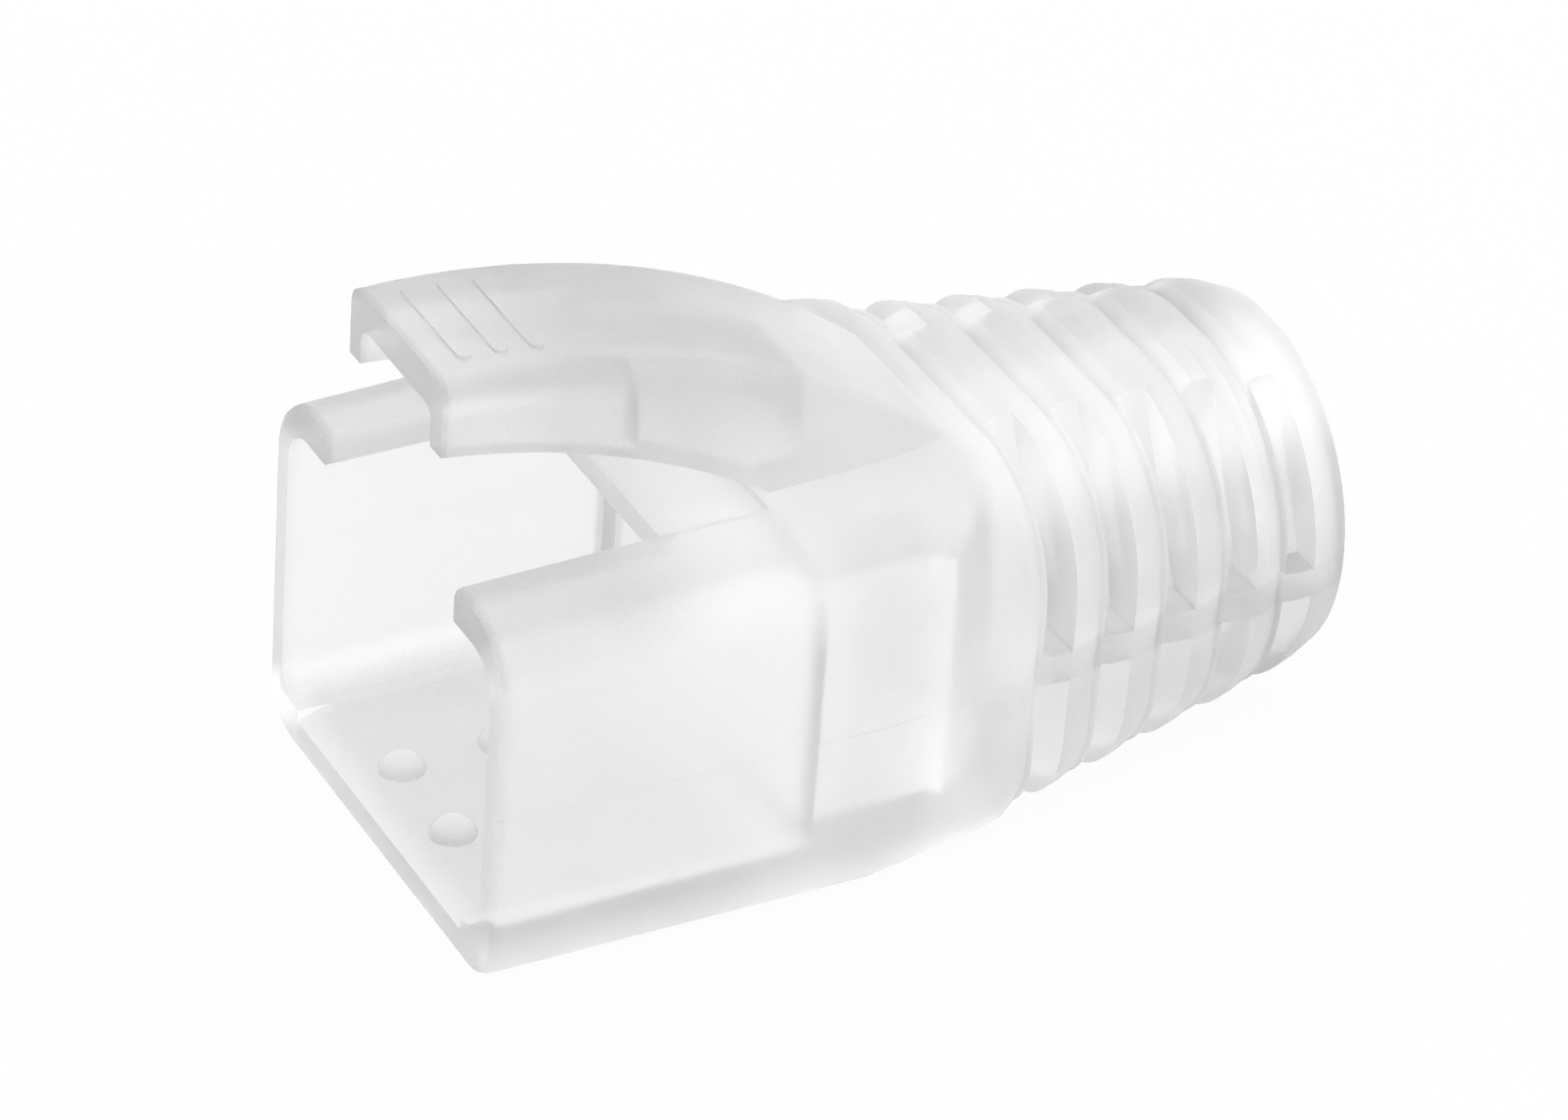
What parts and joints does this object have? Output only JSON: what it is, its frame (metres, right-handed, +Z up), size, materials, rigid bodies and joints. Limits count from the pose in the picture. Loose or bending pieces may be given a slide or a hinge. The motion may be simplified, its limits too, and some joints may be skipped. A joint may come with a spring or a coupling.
{
  "type": "rj45 strain relief boot",
  "caption": "Translucent one-piece boot for an RJ45 plug: open sleeve with a latch guard over the slot and a ribbed flexible tail around the cable.",
  "frame": {"origin": "middle of the boot's length and width, in the plane of its flat floor", "axes": "+X from the plug's mouth towards the tail where the cable leaves, +Z up towards the latch guard, Y across"},
  "size_m": [0.027, 0.0142, 0.0166],
  "materials": {
    "clear_polymer": "translucent frosted flexible polymer, satin from the mould"
  },
  "bodies": {
    "root": {"strain_relief_boot": "clear_polymer"}
  },
  "joints": []
}
